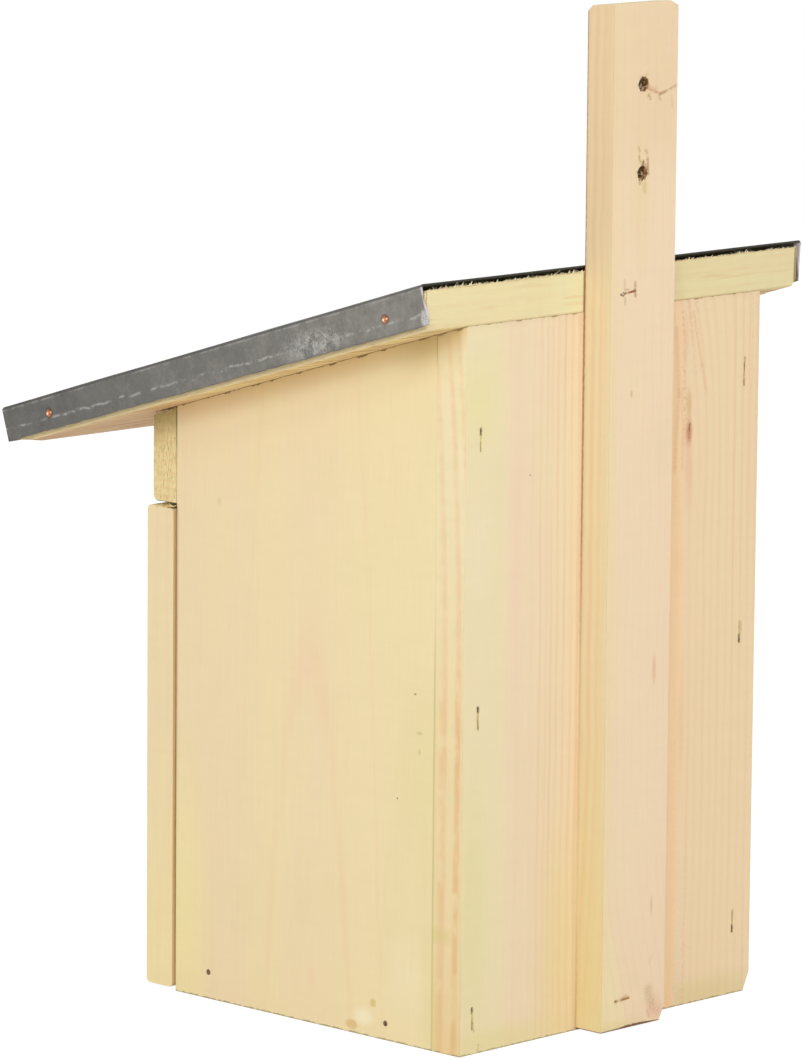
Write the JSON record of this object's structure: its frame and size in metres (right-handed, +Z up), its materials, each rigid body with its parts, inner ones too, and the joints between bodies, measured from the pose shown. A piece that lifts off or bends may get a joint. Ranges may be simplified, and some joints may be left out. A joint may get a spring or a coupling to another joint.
{
  "type": "nest box with lean-to zinc roof, cleaning door and mounting batten",
  "caption": "Wooden nest box with a sloping roof board under a folded zinc sheet, a side-hung front door with a round entrance hole, and a long mounting batten at the back.",
  "frame": {"origin": "on the underside, in the middle of the box between its side walls and between the side walls' front edges and the rear face of the back board", "axes": "+Z up, -Y towards the front with the door, +Y towards the mounting batten, +X to the right as seen from the front"},
  "size_m": [0.266, 0.2982, 0.4877],
  "materials": {
    "pine": "planed and sawn, untreated",
    "pine_door": "planed, untreated",
    "pine_batten": "planed, untreated",
    "zinc": "weathered matt zinc",
    "copper_nails": "bright copper",
    "steel_fastenings": "galvanised",
    "hinges": "zinc plated"
  },
  "bodies": {
    "box": {"floor_board": "pine", "side_wall_right": "pine", "side_wall_left": "pine", "back_board": "pine", "front_rail": "pine_batten", "roof_board": "pine", "zinc_sheet": "zinc", "mounting_batten": "pine_batten", "low_hinge_wall_leaf": "hinges", "low_hinge_pin": "hinges", "high_hinge_wall_leaf": "hinges", "high_hinge_pin": "hinges", "low_hinge_wall_screws": "hinges", "high_hinge_wall_screws": "hinges", "roof_nail_right_front": "copper_nails", "roof_nail_right_rear": "copper_nails", "roof_nail_left_front": "copper_nails", "roof_nail_left_rear": "copper_nails", "floor_nail_right_front": "steel_fastenings", "floor_nail_right_rear": "steel_fastenings", "floor_nail_left_front": "steel_fastenings", "floor_nail_left_rear": "steel_fastenings", "back_staple_right_low": "steel_fastenings", "back_staple_right_middle": "steel_fastenings", "back_staple_right_high": "steel_fastenings", "back_staple_left_low": "steel_fastenings", "back_staple_left_middle": "steel_fastenings", "back_staple_left_high": "steel_fastenings", "batten_staple_low": "steel_fastenings", "batten_staple_high": "steel_fastenings", "rail_staple_right": "steel_fastenings", "rail_staple_left": "steel_fastenings"},
    "door": {"front_door": "pine_door", "low_hinge_door_leaf": "hinges", "high_hinge_door_leaf": "hinges", "low_hinge_door_screws": "hinges", "high_hinge_door_screws": "hinges"}
  },
  "joints": [
    {"name": "door_hinge", "type": "hinge", "parent": "box", "child": "door", "pos_m": [-0.1045, -0.09645, 0.119], "axis": [0, 0, -1], "range_deg": [0, 180]}
  ]
}
